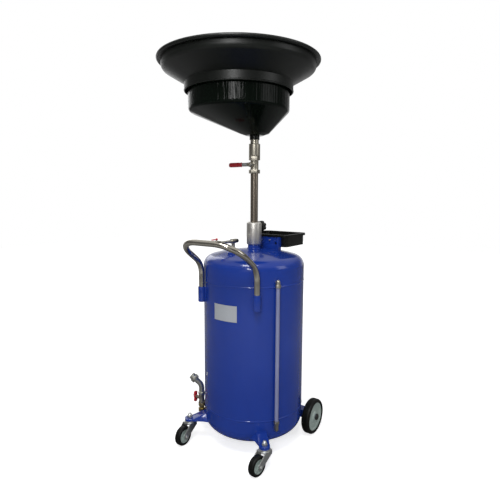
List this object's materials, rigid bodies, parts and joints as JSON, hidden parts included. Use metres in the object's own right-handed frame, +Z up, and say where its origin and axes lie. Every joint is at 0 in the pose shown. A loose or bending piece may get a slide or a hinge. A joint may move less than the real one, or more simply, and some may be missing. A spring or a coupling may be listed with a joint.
{
  "type": "mobile waste oil drainer",
  "caption": "Mobile oil drain pan: offset catch bowl with extension ring on a height-adjustable hollow post over an upright steel tank on wheels and casters.",
  "frame": {"origin": "on the floor under the middle of the bowl's rim, which is the middle of the outline seen from above", "axes": "+Z up; -Y is the front, where the push handle and the casters are; +Y is the back, with the two large wheels and the tool tray; +X is to the right of someone facing the back"},
  "size_m": [0.6023, 0.6024, 1.4894],
  "materials": {
    "blue_enamel": "gloss enamel",
    "black_polyethylene": "satin moulded",
    "black_abs": "moulded",
    "chromed_steel": "polished",
    "zinc_steel": "bright zinc plated",
    "nickel_brass": "nickel plated",
    "bare_brass": "machined",
    "red_vinyl": "dipped vinyl",
    "red_enamel": "painted",
    "clear_tube": "translucent plastic tube",
    "tyre_rubber": "moulded rubber",
    "grey_nylon": "moulded",
    "bronze": "sintered",
    "seal_rubber": "moulded"
  },
  "bodies": {
    "tank": {"tank_shell": "blue_enamel", "upper_head": "blue_enamel", "lower_head": "blue_enamel", "post_boss": "blue_enamel", "guide_tube": "zinc_steel", "lock_collar": "zinc_steel", "gland_bush": "bronze", "wiper_seal": "seal_rubber", "push_handle": "chromed_steel", "handle_sockets": "blue_enamel", "sight_tube": "clear_tube", "sight_fittings": "nickel_brass", "caster_arm_left": "blue_enamel", "caster_arm_right": "blue_enamel", "caster_studs": "zinc_steel", "axle_brackets": "blue_enamel", "wheel_caps": "zinc_steel", "drain_boss": "blue_enamel", "drain_nipple": "bare_brass", "drain_valve_body": "nickel_brass", "drain_elbow": "zinc_steel", "drain_coupling": "zinc_steel", "air_tee": "nickel_brass", "air_relief_valve": "black_abs", "air_line": "zinc_steel", "air_valve_body": "nickel_brass", "air_plug": "zinc_steel", "filler_plug": "black_abs", "tool_tray": "black_abs", "tray_holder": "blue_enamel", "tray_bolts": "zinc_steel"},
    "lock_knob": {"lock_screw": "zinc_steel", "lock_knob": "black_abs"},
    "post": {"post_tube": "chromed_steel", "post_foot_bush": "bronze", "top_valve_body": "nickel_brass", "swivel_union": "zinc_steel"},
    "top_lever": {"top_valve_lever": "zinc_steel", "lever_sleeve": "red_vinyl", "top_valve_ball": "nickel_brass"},
    "bowl": {"bowl_spigot": "black_polyethylene", "bowl_nut": "black_polyethylene", "lower_bowl": "black_polyethylene", "bowl_strainer": "zinc_steel", "extension_ring": "black_polyethylene"},
    "drain_handle": {"drain_valve_handle": "red_enamel", "drain_valve_ball": "nickel_brass"},
    "air_lever": {"air_valve_lever": "red_enamel"},
    "left_fork": {"caster_fork_left": "zinc_steel", "caster_axle_left": "zinc_steel"},
    "left_caster": {"caster_tyre_left": "tyre_rubber", "caster_hub_left": "grey_nylon"},
    "right_fork": {"caster_fork_right": "zinc_steel", "caster_axle_right": "zinc_steel"},
    "right_caster": {"caster_tyre_right": "tyre_rubber", "caster_hub_right": "grey_nylon"},
    "left_wheel": {"wheel_tyre_left": "tyre_rubber", "wheel_hub_left": "grey_nylon"},
    "right_wheel": {"wheel_tyre_right": "tyre_rubber", "wheel_hub_right": "grey_nylon"}
  },
  "joints": [
    {"name": "post_slide", "type": "slide", "parent": "tank", "child": "post", "axis": [0, 0, 1], "range_m": [-0.185, 0.25]},
    {"name": "lock_knob_turn", "type": "hinge", "parent": "tank", "child": "lock_knob", "pos_m": [0.021, 0.075, 0.86996], "axis": [0, 1, 0], "range_deg": [0, 360]},
    {"name": "bowl_swivel", "type": "hinge", "parent": "post", "child": "bowl", "pos_m": [0.021, 0.075, 1.20926], "axis": [0, 0, 1], "continuous": true},
    {"name": "top_valve_turn", "type": "hinge", "parent": "post", "child": "top_lever", "pos_m": [0.021, 0.04, 1.11246], "axis": [0, -1, 0], "range_deg": [0, 90]},
    {"name": "drain_valve_turn", "type": "hinge", "parent": "tank", "child": "drain_handle", "pos_m": [-0.15699, -0.04506, 0.152], "axis": [-1, 0, 0], "range_deg": [0, 90]},
    {"name": "air_valve_turn", "type": "hinge", "parent": "tank", "child": "air_lever", "pos_m": [-0.051, -0.073, 0.82596], "axis": [0, 0, 1], "range_deg": [0, 90]},
    {"name": "left_caster_swivel", "type": "hinge", "parent": "tank", "child": "left_fork", "pos_m": [-0.15937, -0.1164, 0.0825], "axis": [0, 0, 1], "continuous": true},
    {"name": "left_caster_roll", "type": "hinge", "parent": "left_fork", "child": "left_caster", "pos_m": [-0.15937, -0.1574, 0.038], "axis": [1, 0, 0], "continuous": true},
    {"name": "right_caster_swivel", "type": "hinge", "parent": "tank", "child": "right_fork", "pos_m": [0.20137, -0.1164, 0.0825], "axis": [0, 0, 1], "continuous": true},
    {"name": "right_caster_roll", "type": "hinge", "parent": "right_fork", "child": "right_caster", "pos_m": [0.19566, -0.15701, 0.038], "axis": [0.9903, -0.1392, 0], "continuous": true},
    {"name": "left_wheel_roll", "type": "hinge", "parent": "tank", "child": "left_wheel", "pos_m": [-0.181, 0.223, 0.072], "axis": [1, 0, 0], "continuous": true},
    {"name": "right_wheel_roll", "type": "hinge", "parent": "tank", "child": "right_wheel", "pos_m": [0.223, 0.223, 0.072], "axis": [1, 0, 0], "continuous": true}
  ]
}
